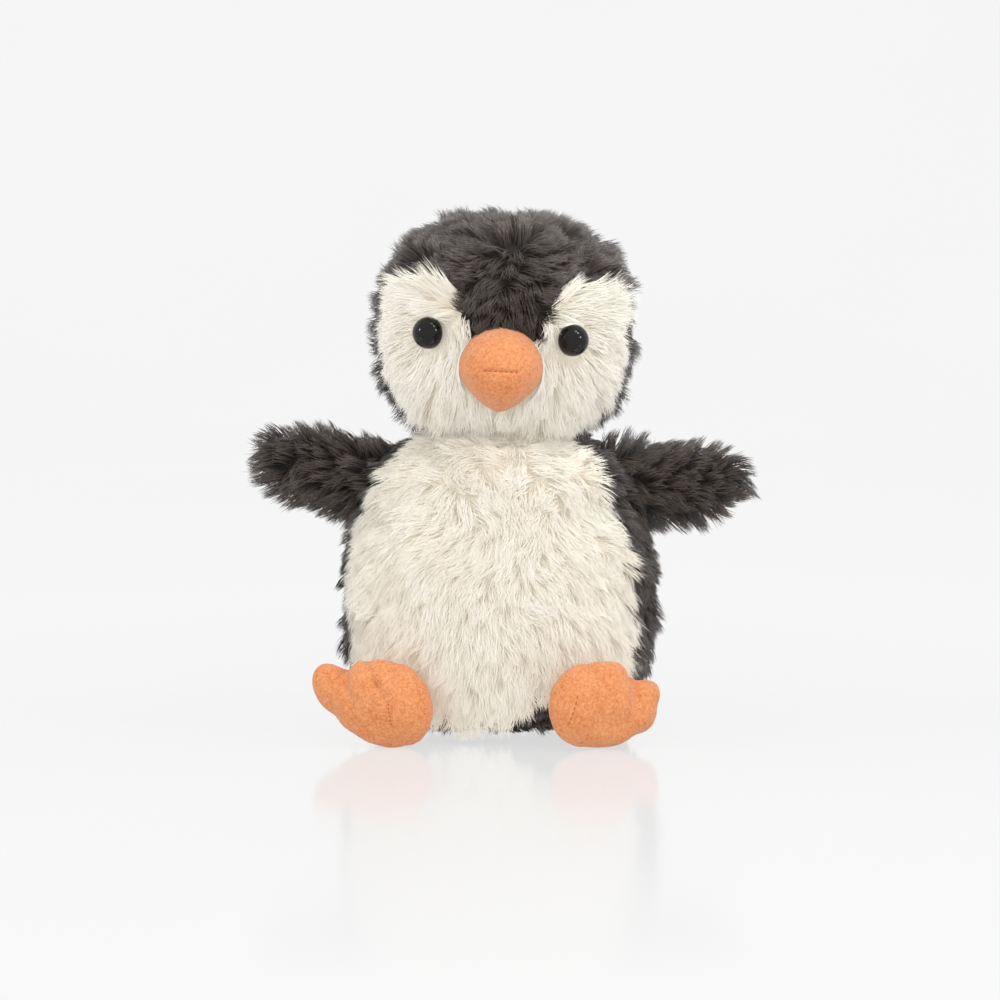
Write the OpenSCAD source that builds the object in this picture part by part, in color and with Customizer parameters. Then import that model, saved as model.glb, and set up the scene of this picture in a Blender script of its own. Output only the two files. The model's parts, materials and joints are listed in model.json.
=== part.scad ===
// Plush penguin sitting upright, in millimetres.
// +Z is up, the penguin faces -Y, and its own left is +X.
// The origin is the middle of the flat underside that it sits on.
// Long-pile panels are modelled as thick as the fabric backing plus the dense half of the pile.

/* [Body] */
// Largest width of the body over the pile
body_width = 121; // [114:1:124]
// Depth of the body as a share of its width
body_depth_share = 0.88; // [0.86:0.01:0.92]
// Height of the widest level of the body
waist_z = 52; // [50:1:54]
// Height at which the body ends flat under the head
shoulder_z = 108; // [104:1:108]
// Half of the angle that the cream belly panel covers, seen from above
belly_half_angle = 64; // [50:1:75]
// Height up to which the base panel wraps around the bottom
base_rise = 9; // [7:1:12]

/* [Head] */
// Largest width of the head over the pile
head_width = 98; // [92:1:100]
// Height of the widest level of the head
head_z = 155; // [155:1:158]
// Sideways tilt of the head, lowering its left side
head_roll = 2.8; // [0:0.1:3]
// Turn of the head towards its left at rest
head_yaw = 4; // [0:0.5:6]

/* [Face] */
// Diameter of a safety eye
eye_d = 12; // [9:0.5:12.5]
// Height of the eyes before the head is tilted
eye_z = 152; // [149:0.5:156]
// Angle of the left eye away from straight ahead
eye_angle_left = 32; // [31:0.5:38]
// Angle of the right eye away from straight ahead
eye_angle_right = 36; // [31:0.5:38]
// Width of the beak at its base
beak_width = 32; // [28:1:33]
// Length of the beak from its base, which is sunk into the face, to its tip
beak_length = 24; // [20:1:26]
// Height of the mouth seam before the head is tilted
beak_z = 139.5; // [138:0.5:142]

/* [Flippers] */
// Distance of each flipper's hinge line from the middle plane
flipper_x = 66; // [65.5:0.5:68]
// Mean height of the two hinge lines
flipper_z = 95.5; // [94:0.5:98]
// Angle by which the flippers point upwards at rest
flipper_raise = 17; // [10:1:20]
// Radius of a flipper at its widest level over the pile
flipper_r = 15.5; // [14:0.5:15.5]
// Thickness of a flipper as a share of its width
flipper_flatness = 0.68; // [0.55:0.01:0.75]

/* [Feet] */
// Width of a foot across the toes
foot_width = 45; // [40:1:46]
// Height of a foot as it stands on its heel
foot_height = 34; // [30:1:36]
// Thickness of a foot between sole and instep
foot_depth = 22; // [18:1:22]
// Distance of the middle of a foot from the middle plane
foot_x = 43; // [42:1:46]
// Distance of the middle of a foot in front of the middle of the body
foot_y = 51; // [51:1:54]
// Outward turn of the left foot
foot_splay_left = 24; // [20:1:26]
// Outward turn of the right foot
foot_splay_right = 10; // [8:1:14]

/* [Fabric] */
// Thickness of the long-pile fabric, backing and dense pile
pile_t = 5; // [4:0.5:6]
// Thickness of the woven backing of the long-pile fabric
backing_t = 1.2; // [1:0.1:1.5]
// Thickness of the suede on beak and feet
suede_t = 1.8; // [1.4:0.1:2.2]
// Gap left between neighbouring panels for a seam
seam_gap = 0.4; // [0.3:0.1:0.6]

/* [Stuffing and beans] */
// Clearance between the stuffing and the fabric around it
stuffing_gap = 0.2; // [0.1:0.1:0.4]
// Radius of the bean pouch in the bottom
pouch_r = 33; // [30:1:34]
// Height of the bean pouch
pouch_h = 18; // [16:1:20]
// Thickness of the pouch cloth
pouch_t = 0.8; // [0.6:0.1:1]
// Diameter of one plastic pellet
pellet_d = 4.8; // [4:0.2:5]

/* [Hidden] */

LEFT = 1;
RIGHT = -1;
charcoal = "#55504e";
cream = "#ebe3d4";
apricot = "#ec9a62";
fill_white = "#f4f2ee";
eye_black = "#101010";

// Smoothness of round surfaces and of computed outlines
$fn = 64;
curve_steps = 12;
arc_steps = 6;
// Longer than anything it cuts through
beyond = 200;

// A turned form: [radius, height above the widest level, its power, height below, its power, level]
body_top_h = 80;
body_top_p = 2.2;
body_low_h = 64;
body_low_p = 2.6;
body_form = [body_width / 2, body_top_h, body_top_p, body_low_h, body_low_p, waist_z];
head_half_h = 43;
head_top_p = 2.5;
head_low_p = 3;
head_form = [head_width / 2, head_half_h, head_top_p, head_half_h, head_low_p, head_z];

neck_hole_r = 15;
neck_clearance = 0.8;
neck_plug_r = neck_hole_r * body_depth_share - neck_clearance;
neck_plug_h = 12;
neck_pivot_h = 10;
neck_pivot_z = shoulder_z + neck_pivot_h;
seam_angle = seam_gap / body_width * 360 / PI;

pouch_z = pile_t + 2 * stuffing_gap;
pouch_corner = 4;
pouch_fill_r = 3;
pouch_room = 1;
pellet_spacing = 0.4;
pellet_pitch = pellet_d + pellet_spacing;
pellet_layer_gap = 0.3;
// Number of rings of pellets around the middle one, in each layer
pellet_rings = [4, 4];

label_w = 16;
label_h = 22;
label_t = 0.6;
label_z = 4;
label_x = 20;
label_tuck = 2;

// Outline of the dark centre strip of the head, as half-widths at heights above the head's middle
peak_tip_h = -17;
peak_low = [13, -3];
peak_mid = [16, 11];
crown_mid = [26, 27];
crown_top = [30, 50];

// The cream cheeks end in a rounded outline, and stop at the side seam of the head
cheek_x = 20;
cheek_h = -10;
cheek_half_w = 34;
cheek_half_h = 33;
cheek_p = 2.5;
side_seam_y = 8;

eye_flange_t = 1;
eye_post_r = 1.6;
eye_post_l = 12;
eye_hole_r = 1.9;
eye_clearance = 0.4;
eye_seat_r = eye_d / 2 + eye_clearance;
eye_room = 1;
eye_seat = head_width / 2 - pile_t + backing_t;
washer_r = 6.5;
washer_t = 1.2;
washer_hub_r = 3;
washer_hub_t = 3;
washer_fit = 0.05;
washer_bore_r = eye_post_r + washer_fit;
washer_room = 0.5;
// The washer is flat, so it lies a little deeper than the rounded inside of the face
washer_inset = 1;
washer_seat = head_width / 2 - pile_t - washer_inset;

beak_base_y = 40;
beak_p = 2.2;
beak_upper_share = 1.04;
beak_lower_share = 0.96;
beak_clearance = 0.4;
// The space left for the beak, as a share of the beak
beak_room_share = 1.07;

flipper_root_r = 11.5;
flipper_tip_r = 12.5;
flipper_mid_l = 10;
flipper_tip_l = 18.5;
flipper_drop = 3;

foot_p = 2.4;

// ---- Outlines -------------------------------------------------------------

// Point of a superellipse at angle a, from -90 at the bottom to 90 at the top
function super_point(a, rx, rz, p) =
    [rx * pow(cos(a), 2 / p), sign(a) * rz * pow(abs(sin(a)), 2 / p)];

// Angle at which a superellipse of half-height rz reaches height h
function super_angle(h, rz, p) = sign(h) * asin(pow(abs(h) / rz, p / 2));

// The same two, for a turned form shrunk by inset
function form_point(form, a, inset) =
    a >= 0
        ? super_point(a, form[0] - inset, form[1] - inset, form[2]) + [0, form[5]]
        : super_point(a, form[0] - inset, form[3] - inset, form[4]) + [0, form[5]];
function form_angle(form, z, inset) =
    z >= form[5]
        ? super_angle(z - form[5], form[1] - inset, form[2])
        : super_angle(z - form[5], form[3] - inset, form[4]);

// Points of a form's outline from height low to height high
function form_curve(form, low, high, inset = 0) =
    let (a0 = form_angle(form, low, inset), a1 = form_angle(form, high, inset))
    [for (i = [0:curve_steps]) form_point(form, a0 + (a1 - a0) * i / curve_steps, inset)];

// Whole outline of a form, from the bottom of its axis to the top
function form_outline(form, inset = 0) =
    [for (i = [-curve_steps:curve_steps]) form_point(form, 90 * i / curve_steps, inset)];

function reversed(points) = [for (i = [len(points) - 1:-1:0]) points[i]];

// Arc of radius r around [0, along], from angle a0 to angle a1
function arc(r, along, a0, a1) =
    [for (i = [0:arc_steps])
        let (a = a0 + (a1 - a0) * i / arc_steps)
        [r * cos(a), along + r * sin(a)]];

// Outline of a flipper about its long axis: three round swellings joined by tangents
function flipper_outline(inset = 0) =
    let (
        root = flipper_root_r - inset,
        middle = flipper_r - inset,
        tip = flipper_tip_r - inset,
        a1 = asin((root - middle) / flipper_mid_l),
        a2 = asin((middle - tip) / (flipper_tip_l - flipper_mid_l))
    )
    concat(
        arc(root, 0, -90, a1),
        arc(middle, flipper_mid_l, a1, a2),
        arc(tip, flipper_tip_l, a2, 90)
    );

// Half outline of a foot from its rim to the middle of its sole
function foot_half(inset = 0) =
    [for (i = [0:curve_steps])
        super_point(90 * i / curve_steps, foot_width / 2 - inset, foot_depth / 2 - inset, foot_p)];

// Half outline of the beak from its base to its tip
function beak_curve(inset = 0) =
    [for (i = [0:curve_steps])
        super_point(90 * i / curve_steps, beak_width / 2 - inset, beak_length - inset, beak_p)];

// ---- Turning and placing --------------------------------------------------

// A full turn whose depth is a share of its width, made of two half turns that stay exact
module turned(share) {
    for (start = [0, 180])
        scale([1, share, 1])
            rotate_extrude(start = start, angle = 180)
                children();
}

// The head's own tilt and turn, about the middle of the neck
module head_place() {
    translate([0, 0, neck_pivot_z])
        rotate([0, head_roll, head_yaw])
            translate([0, 0, -neck_pivot_z])
                children();
}

// Local +Z points out of the face along an eye's post, from the seat on the fabric backing
module eye_place(side) {
    angle = side == LEFT ? eye_angle_left : eye_angle_right;
    head_place()
        rotate([0, 0, side * angle])
            translate([0, -eye_seat, eye_z])
                rotate([90, 0, 0])
                    children();
}

// Local +Z points along the beak, and local +Y up
module beak_place() {
    head_place()
        translate([0, -beak_base_y, beak_z])
            rotate([90, 0, 0])
                children();
}

// Local +Z points along the flipper from its hinge line, and local +Y forwards
module flipper_place(side) {
    translate([side * flipper_x, 0, flipper_z - side * flipper_drop])
        rotate([0, side * (90 - flipper_raise), 0])
            rotate([0, 0, 180])
                children();
}

// Local +Z points out of the sole, and local +Y up
module foot_place(side) {
    splay = side == LEFT ? foot_splay_left : foot_splay_right;
    translate([side * foot_x, -foot_y, foot_height / 2])
        rotate([90, 0, side * splay])
            children();
}

// ---- Body -----------------------------------------------------------------

// A side panel of the body, from angle start through sweep, closed over the shoulder
module body_side(start, sweep) {
    bottom = base_rise + seam_gap;
    scale([1, body_depth_share, 1])
        rotate_extrude(start = start, angle = sweep)
            polygon(concat(
                form_curve(body_form, bottom, shoulder_z),
                [[neck_hole_r, shoulder_z], [neck_hole_r, shoulder_z - pile_t]],
                reversed(form_curve(body_form, bottom, shoulder_z - pile_t, pile_t))
            ));
}

module belly_panel() {
    color(cream)
        body_side(-90 - belly_half_angle, 2 * belly_half_angle);
}

module back_panel_left() {
    start = -90 + belly_half_angle + seam_angle;
    color(charcoal)
        body_side(start, 90 - seam_angle / 2 - start);
}

module back_panel_right() {
    start = 90 + seam_angle / 2;
    color(charcoal)
        body_side(start, 270 - belly_half_angle - seam_angle - start);
}

module base_panel() {
    color(charcoal)
        turned(body_depth_share)
            polygon(concat(
                [[0, 0]],
                form_curve(body_form, 0, base_rise),
                reversed(form_curve(body_form, pile_t, base_rise, pile_t)),
                [[0, pile_t]]
            ));
}

module body_stuffing() {
    inset = pile_t + stuffing_gap;
    top = shoulder_z - inset;
    recess = pouch_z + pouch_h + stuffing_gap;
    plug_floor = shoulder_z - neck_plug_h - stuffing_gap;
    color(fill_white)
        turned(body_depth_share)
            polygon(concat(
                [[0, recess], [pouch_r + pouch_room, recess], [pouch_r + pouch_room, inset]],
                form_curve(body_form, inset, top, inset),
                [[neck_hole_r, top], [neck_hole_r, plug_floor], [0, plug_floor]]
            ));
}

// Half outline of the pouch, shrunk by inset, from its bottom to its filling hole
function pouch_outline(inset = 0) =
    let (
        r = pouch_r - inset,
        low = pouch_z + inset,
        high = pouch_z + pouch_h - inset,
        c = pouch_corner - inset
    )
    concat(
        [[0, low]],
        [for (p = arc(c, low + c, -90, 0)) p + [r - c, 0]],
        [for (p = arc(c, high - c, 0, 90)) p + [r - c, 0]],
        [[pouch_fill_r, high]]
    );

module bean_pouch() {
    color(fill_white)
        turned(body_depth_share)
            polygon(concat(pouch_outline(), reversed(pouch_outline(pouch_t))));
}

// Layers of pellets in a hexagonal pattern, one set of rings around each middle
module bean_pellets() {
    row_pitch = pellet_pitch * sqrt(3) / 2;
    layer_pitch = pellet_d + pellet_layer_gap;
    first_z = pouch_z + pouch_t + layer_pitch - pellet_d / 2;
    reach = max(pellet_rings);
    color("ivory")
        for (layer = [0:len(pellet_rings) - 1], i = [-reach:reach], j = [-reach:reach])
            if (max(abs(i), abs(j), abs(i + j)) <= pellet_rings[layer])
                translate([
                    (i + j / 2) * pellet_pitch,
                    (j + layer / 3) * row_pitch,
                    first_z + layer * layer_pitch
                ])
                    sphere(d = pellet_d);
}

// Blank folded ribbon sewn into the bottom seam, hanging just behind the back
module care_label() {
    back_y = body_form[0] * body_depth_share;
    color("white")
        translate([label_x, back_y - label_tuck, label_z])
            difference() {
                translate([-label_w / 2, 0, 0])
                    cube([label_w, 3 * label_t, label_h]);
                translate([-label_w, label_t, label_t])
                    cube([2 * label_w, label_t, label_h]);
            }
}

// ---- Neck -----------------------------------------------------------------

module neck_stuffing() {
    color(fill_white)
        translate([0, 0, shoulder_z - neck_plug_h])
            cylinder(r = neck_plug_r, h = neck_plug_h);
}

// ---- Head -----------------------------------------------------------------

// Hollow head skin before it is cut into panels
module head_shell() {
    rotate_extrude()
        polygon(concat(form_outline(head_form), reversed(form_outline(head_form, pile_t))));
}

// Runs an outline drawn from the front through the whole head
module through(front = beyond) {
    rotate([90, 0, 0])
        translate([0, 0, -beyond])
            linear_extrude(height = beyond + front)
                children();
}

// The dark centre strip, widened by grow on each side
module gusset_outline(grow = 0) {
    edge = [peak_low, peak_mid, crown_mid, crown_top];
    polygon(concat(
        [[0, head_z + peak_tip_h - grow]],
        [for (p = edge) [p[0] + grow, head_z + p[1]]],
        [for (p = reversed(edge)) [-p[0] - grow, head_z + p[1]]]
    ));
}

// Rounded outline of one cheek, widened by grow
module cheek_outline(side, grow = 0) {
    outline = [for (i = [-curve_steps:curve_steps])
        super_point(90 * i / curve_steps, cheek_half_w + grow, cheek_half_h + grow, cheek_p)];
    translate([side * cheek_x, head_z + cheek_h])
        polygon(concat(outline, [for (p = reversed(outline)) [-p[0], p[1]]]));
}

// Space in front of the side seam, on one side of the middle, within a cheek's outline
module cheek_zone(side, grow = 0) {
    intersection() {
        through() cheek_outline(side, grow);
        translate([side == LEFT ? seam_gap / 2 - grow : -beyond, -beyond, 0])
            cube([beyond - seam_gap / 2 + grow, beyond - side_seam_y + grow, beyond]);
    }
}

// Space that the beak takes out of the face
module beak_space() {
    translate([0, 0, -beak_clearance])
        rotate_extrude()
            polygon([for (p = concat([[0, 0]], beak_curve())) p * beak_room_share]);
}

// Space that an eye and its washer take out of the face
module eye_space() {
    cylinder(r = eye_seat_r, h = pile_t + 2 * eye_room);
    translate([0, 0, -eye_post_l - eye_room])
        cylinder(r = eye_hole_r, h = eye_post_l + 2 * eye_room);
}

module cheek_panel(side) {
    color(cream)
        difference() {
            head_place()
                difference() {
                    intersection() {
                        head_shell();
                        cheek_zone(side);
                    }
                    through() gusset_outline(seam_gap);
                }
            beak_place() beak_space();
            eye_place(side) eye_space();
        }
}

module cheek_panel_left() {
    cheek_panel(LEFT);
}

module cheek_panel_right() {
    cheek_panel(RIGHT);
}

module crown_gusset() {
    color(charcoal)
        difference() {
            head_place()
                intersection() {
                    head_shell();
                    through() gusset_outline();
                }
            beak_place() beak_space();
        }
}

module head_back(side) {
    color(charcoal)
        difference() {
            head_place()
                difference() {
                    intersection() {
                        head_shell();
                        translate([side == LEFT ? seam_gap / 2 : -beyond, -beyond / 2, 0])
                            cube([beyond - seam_gap / 2, beyond, 2 * beyond]);
                    }
                    cheek_zone(side, seam_gap);
                    through() gusset_outline(seam_gap);
                }
            beak_place() beak_space();
        }
}

module head_back_left() {
    head_back(LEFT);
}

module head_back_right() {
    head_back(RIGHT);
}

module head_stuffing() {
    color(fill_white)
        difference() {
            head_place()
                rotate_extrude()
                    polygon(form_outline(head_form, pile_t + stuffing_gap));
            beak_place() beak_space();
            for (side = [LEFT, RIGHT])
                eye_place(side) {
                    eye_space();
                    translate([0, 0, washer_seat - eye_seat - washer_t - washer_hub_t])
                        cylinder(r = washer_r + washer_room, h = beyond);
                }
        }
}

// ---- Face -----------------------------------------------------------------

module beak_half(start, share) {
    color(apricot)
        beak_place()
            scale([1, share, 1])
                rotate_extrude(start = start, angle = 180)
                    polygon(concat(beak_curve(), reversed(beak_curve(suede_t))));
}

module beak_upper() {
    beak_half(0, beak_upper_share);
}

module beak_lower() {
    beak_half(180, beak_lower_share);
}

module beak_stuffing() {
    color(fill_white)
        beak_place()
            turned(beak_lower_share)
                polygon(concat([[0, 0]], beak_curve(suede_t + stuffing_gap)));
}

module eye(side) {
    color(eye_black)
        eye_place(side) {
            cylinder(d = eye_d, h = eye_flange_t);
            translate([0, 0, eye_flange_t])
                intersection() {
                    sphere(d = eye_d);
                    cylinder(d = 2 * eye_d, h = eye_d);
                }
            translate([0, 0, -eye_post_l])
                cylinder(r = eye_post_r, h = eye_post_l + eye_flange_t / 2);
        }
}

module eye_left() {
    eye(LEFT);
}

module eye_right() {
    eye(RIGHT);
}

// Washer pushed onto the post behind the fabric, its hub pointing inwards
module eye_washer(side) {
    color("white")
        eye_place(side)
            translate([0, 0, washer_seat - eye_seat - washer_t])
                difference() {
                    union() {
                        cylinder(r = washer_r, h = washer_t);
                        translate([0, 0, washer_t - washer_hub_t])
                            cylinder(r = washer_hub_r, h = washer_hub_t);
                    }
                    translate([0, 0, -washer_hub_t])
                        cylinder(r = washer_bore_r, h = 3 * washer_hub_t);
                }
}

module eye_washer_left() {
    eye_washer(LEFT);
}

module eye_washer_right() {
    eye_washer(RIGHT);
}

// ---- Flippers -------------------------------------------------------------

module flipper_half(side, start) {
    color(charcoal)
        flipper_place(side)
            scale([1, flipper_flatness, 1])
                rotate_extrude(start = start, angle = 180)
                    polygon(concat(flipper_outline(), reversed(flipper_outline(pile_t))));
}

module flipper_stuffing(side) {
    color(fill_white)
        flipper_place(side)
            turned(flipper_flatness)
                polygon(flipper_outline(pile_t + stuffing_gap));
}

module flipper_left_front() {
    flipper_half(LEFT, 0);
}

module flipper_left_back() {
    flipper_half(LEFT, 180);
}

module flipper_left_stuffing() {
    flipper_stuffing(LEFT);
}

module flipper_right_front() {
    flipper_half(RIGHT, 0);
}

module flipper_right_back() {
    flipper_half(RIGHT, 180);
}

module flipper_right_stuffing() {
    flipper_stuffing(RIGHT);
}

// ---- Feet -----------------------------------------------------------------

// One half of a foot's skin: facing 1 is the sole in front, facing -1 is the upper behind it
module foot_half_skin(side, facing) {
    color(apricot)
        foot_place(side)
            turned(foot_height / foot_width)
                polygon([for (p = concat(foot_half(), reversed(foot_half(suede_t))))
                    [p[0], facing * p[1]]]);
}

module foot_stuffing(side) {
    half = foot_half(suede_t + stuffing_gap);
    color(fill_white)
        foot_place(side)
            turned(foot_height / foot_width)
                polygon(concat([for (p = reversed(half)) [p[0], -p[1]]], half));
}

module foot_left_sole() {
    foot_half_skin(LEFT, 1);
}

module foot_left_upper() {
    foot_half_skin(LEFT, -1);
}

module foot_left_stuffing() {
    foot_stuffing(LEFT);
}

module foot_right_sole() {
    foot_half_skin(RIGHT, 1);
}

module foot_right_upper() {
    foot_half_skin(RIGHT, -1);
}

module foot_right_stuffing() {
    foot_stuffing(RIGHT);
}

belly_panel();
back_panel_left();
back_panel_right();
base_panel();
body_stuffing();
bean_pouch();
bean_pellets();
care_label();
neck_stuffing();
crown_gusset();
cheek_panel_left();
cheek_panel_right();
head_back_left();
head_back_right();
head_stuffing();
beak_upper();
beak_lower();
beak_stuffing();
eye_left();
eye_right();
eye_washer_left();
eye_washer_right();
flipper_left_front();
flipper_left_back();
flipper_left_stuffing();
flipper_right_front();
flipper_right_back();
flipper_right_stuffing();
foot_left_sole();
foot_left_upper();
foot_left_stuffing();
foot_right_sole();
foot_right_upper();
foot_right_stuffing();
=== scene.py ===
"""Plush penguin with a long pile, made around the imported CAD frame. Metres, +Z up, facing -Y."""

import json
import math

import bmesh
import bpy
import numpy as np
from mathutils import Matrix, Vector
from mathutils.bvhtree import BVHTree
from mathutils.kdtree import KDTree


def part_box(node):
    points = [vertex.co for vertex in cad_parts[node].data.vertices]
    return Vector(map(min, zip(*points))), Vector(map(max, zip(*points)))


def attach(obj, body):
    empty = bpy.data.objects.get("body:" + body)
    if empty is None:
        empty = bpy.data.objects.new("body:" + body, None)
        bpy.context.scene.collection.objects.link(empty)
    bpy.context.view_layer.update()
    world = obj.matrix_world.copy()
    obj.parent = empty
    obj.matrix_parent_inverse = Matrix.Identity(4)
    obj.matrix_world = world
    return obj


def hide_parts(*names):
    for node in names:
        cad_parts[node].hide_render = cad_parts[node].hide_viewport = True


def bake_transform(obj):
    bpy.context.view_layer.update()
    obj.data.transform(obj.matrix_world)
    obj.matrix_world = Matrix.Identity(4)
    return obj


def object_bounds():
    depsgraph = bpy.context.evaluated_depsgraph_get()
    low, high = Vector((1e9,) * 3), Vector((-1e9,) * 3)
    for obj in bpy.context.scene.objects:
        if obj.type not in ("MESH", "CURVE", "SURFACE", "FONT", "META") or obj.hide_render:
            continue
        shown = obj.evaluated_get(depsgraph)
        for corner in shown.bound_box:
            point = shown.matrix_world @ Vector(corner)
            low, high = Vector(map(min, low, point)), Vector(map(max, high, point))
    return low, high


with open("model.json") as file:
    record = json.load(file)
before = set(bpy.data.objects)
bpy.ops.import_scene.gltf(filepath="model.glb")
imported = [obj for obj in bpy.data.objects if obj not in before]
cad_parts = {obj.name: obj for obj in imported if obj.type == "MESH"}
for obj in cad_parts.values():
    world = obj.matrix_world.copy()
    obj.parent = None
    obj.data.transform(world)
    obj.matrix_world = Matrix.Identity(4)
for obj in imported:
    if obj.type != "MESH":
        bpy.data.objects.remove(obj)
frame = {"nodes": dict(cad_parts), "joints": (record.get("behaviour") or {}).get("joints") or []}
cad_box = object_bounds()

MM = 0.001
SIDES = {"left": 1, "right": -1}
rng = np.random.default_rng(11)
scene = bpy.context.scene

# ---- Places taken from the frame ----


def box_around(*nodes):
    """Low and high corner of the box around these CAD nodes."""
    boxes = [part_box(n) for n in nodes]
    return np.min([b[0] for b in boxes], axis=0), np.max([b[1] for b in boxes], axis=0)


def middle(*nodes):
    low, high = box_around(*nodes)
    return (low + high) / 2


def half_size(*nodes):
    low, high = box_around(*nodes)
    return (high - low) / 2


joints = {j["name"]: j for j in frame["joints"]}
nod_axis = joints["head_nod"]["axis"]
head_turn = Matrix.Rotation(math.atan2(nod_axis[1], nod_axis[0]), 3, "Z")
head_axes = np.array(head_turn @ Matrix.Rotation(math.asin(-nod_axis[2]), 3, "Y"))
head_up = Vector(head_axes[:, 2])
head_front = Vector(-head_axes[:, 1])
head_centre = middle("head_stuffing")
beak_centre = middle("beak_upper", "beak_lower")
beak_half = half_size("beak_upper", "beak_lower")
body_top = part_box("body_stuffing")[1].z


def to_head(points):
    """World points in the head's own axes, from the middle of the head."""
    return (points - head_centre) @ head_axes


def from_head(points):
    return points @ head_axes.T + head_centre


def unit(vectors):
    return vectors / np.maximum(np.linalg.norm(vectors, axis=-1, keepdims=True), 1e-12)


def fade(values, start, end):
    """0 before start, 1 after end, and smooth between them."""
    t = np.clip((values - start) / (end - start), 0, 1)
    return t * t * (3 - 2 * t)


def tilted(flow, towards, angle):
    """Directions turned from flow by those angles."""
    return flow * np.cos(angle)[:, None] + towards * np.sin(angle)[:, None]


def waves(points, size, count=7):
    """Smooth noise of about that size over the points, roughly from -1 to 1."""
    directions = unit(rng.normal(size=(count, 3))) * 2 * math.pi / size
    phases = rng.uniform(0, 2 * math.pi, count)
    return np.sin(points @ directions.T + phases).sum(axis=1) / math.sqrt(count)


# ---- Meshes ----


def add_piece(name, mesh):
    piece = bpy.data.objects.new(name, mesh)
    scene.collection.objects.link(piece)
    return piece


def coordinates(mesh):
    flat = np.zeros(len(mesh.vertices) * 3)
    mesh.vertices.foreach_get("co", flat)
    return flat.reshape(-1, 3)


def normals(mesh):
    flat = np.zeros(len(mesh.vertices) * 3)
    mesh.vertex_normals.foreach_get("vector", flat)
    return flat.reshape(-1, 3)


def set_coordinates(mesh, points):
    mesh.vertices.foreach_set("co", np.ascontiguousarray(points, float).ravel())
    mesh.update()


def settle(piece):
    """Fixes the piece's modifiers in its mesh."""
    evaluated = piece.evaluated_get(bpy.context.evaluated_depsgraph_get())
    mesh = bpy.data.meshes.new_from_object(evaluated)
    piece.modifiers.clear()
    piece.data = mesh
    mesh.name = piece.name
    mesh.shade_smooth()


def hull(name, points):
    """Convex skin around the points."""
    bm = bmesh.new()
    for p in points:
        bm.verts.new(p)
    result = bmesh.ops.convex_hull(bm, input=bm.verts)
    inner = result["geom_interior"] + result["geom_unused"]
    spare = {e for e in inner if isinstance(e, bmesh.types.BMVert)}
    bmesh.ops.delete(bm, geom=list(spare), context="VERTS")
    mesh = bpy.data.meshes.new(name)
    bm.to_mesh(mesh)
    bm.free()
    return add_piece(name, mesh)


def from_faces(name, verts, faces):
    mesh = bpy.data.meshes.new(name)
    mesh.from_pydata([tuple(v) for v in verts], [], faces)
    return add_piece(name, mesh)


def lathe_faces(rings, around):
    """Faces of a closed skin: one first point, rings of points around an axis, and one last point."""
    following = [(k + 1) % around for k in range(around)]
    faces = [(0, 1 + n, 1 + k) for k, n in enumerate(following)]
    for ring in range(rings - 1):
        a, b = 1 + ring * around, 1 + (ring + 1) * around
        faces += [(a + k, a + n, b + n, b + k) for k, n in enumerate(following)]
    last = 1 + (rings - 1) * around
    return faces + [(last + k, last + n, last + around) for k, n in enumerate(following)]


def ellipsoid(centre, radii, axes, bands=24, around=32):
    """Vertices and faces of one closed ellipsoid whose own axes are the columns of axes."""
    verts = [(0, 0, -1)]
    for band in range(1, bands):
        a = math.pi * (band / bands - 0.5)
        for k in range(around):
            b = 2 * math.pi * k / around
            verts.append((math.cos(a) * math.cos(b), math.cos(a) * math.sin(b), math.sin(a)))
    verts.append((0, 0, 1))
    return (np.array(verts) * radii) @ np.array(axes).T + np.array(centre), lathe_faces(bands - 1, around)


def lumps(name, parts):
    """One mesh of several ellipsoids that still cross each other."""
    verts, faces = [], []
    for part in parts:
        v, f = ellipsoid(*part)
        faces += [tuple(k + len(verts) for k in face) for face in f]
        verts += list(v)
    return from_faces(name, verts, faces)


def remesh(piece, voxel, smoothing=4):
    """Rebuilds the piece as one closed skin of even faces."""
    modifier = piece.modifiers.new("Remesh", "REMESH")
    modifier.mode = "VOXEL"
    modifier.voxel_size = voxel
    settle(piece)
    modifier = piece.modifiers.new("Smooth", "SMOOTH")
    modifier.factor = 0.5
    modifier.iterations = smoothing
    settle(piece)


def subdivide(piece):
    modifier = piece.modifiers.new("Subdivision", "SUBSURF")
    modifier.levels = 1
    settle(piece)


PRESSURE = 4
SWELL_FRAMES = 20


def swell(piece, cap):
    """Fills a closed skin by Cloth under pressure, no point moving further than cap, and subdivides it.
    """
    mesh = piece.data
    start = coordinates(mesh)
    cloth = piece.modifiers.new("Cloth", "CLOTH")
    cloth.settings.quality = 6
    cloth.settings.use_pressure = True
    cloth.settings.uniform_pressure_force = PRESSURE
    cloth.settings.effector_weights.gravity = 0
    cloth.point_cache.frame_end = SWELL_FRAMES
    for number in range(1, SWELL_FRAMES + 1):
        scene.frame_set(number)
    evaluated = piece.evaluated_get(bpy.context.evaluated_depsgraph_get())
    moved = coordinates(evaluated.data)
    piece.modifiers.remove(cloth)
    scene.frame_set(1)
    step = moved - start
    length = np.linalg.norm(step, axis=1, keepdims=True)
    set_coordinates(mesh, start + step * np.minimum(1, cap / np.maximum(length, 1e-9)))
    subdivide(piece)


def node_points(*nodes):
    """Corner points of these CAD nodes."""
    return np.concatenate([coordinates(frame["nodes"][n].data) for n in nodes])


# ---- Materials ----


def linear(level):
    return ((level / 255 + 0.055) / 1.055) ** 2.4 if level > 10 else level / 255 / 12.92


def rgb(red, green, blue):
    """A colour given as it shows on a screen, 0 to 255, as the shader takes it."""
    return [linear(red), linear(green), linear(blue), 1]


# Painted light: strength of the glow on pale pile and backing, standing in for light that pale fibres pass
# on to each other inside the coat and lifting their shade
PAINTED_GLOW_STRENGTH = 0.2


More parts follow.
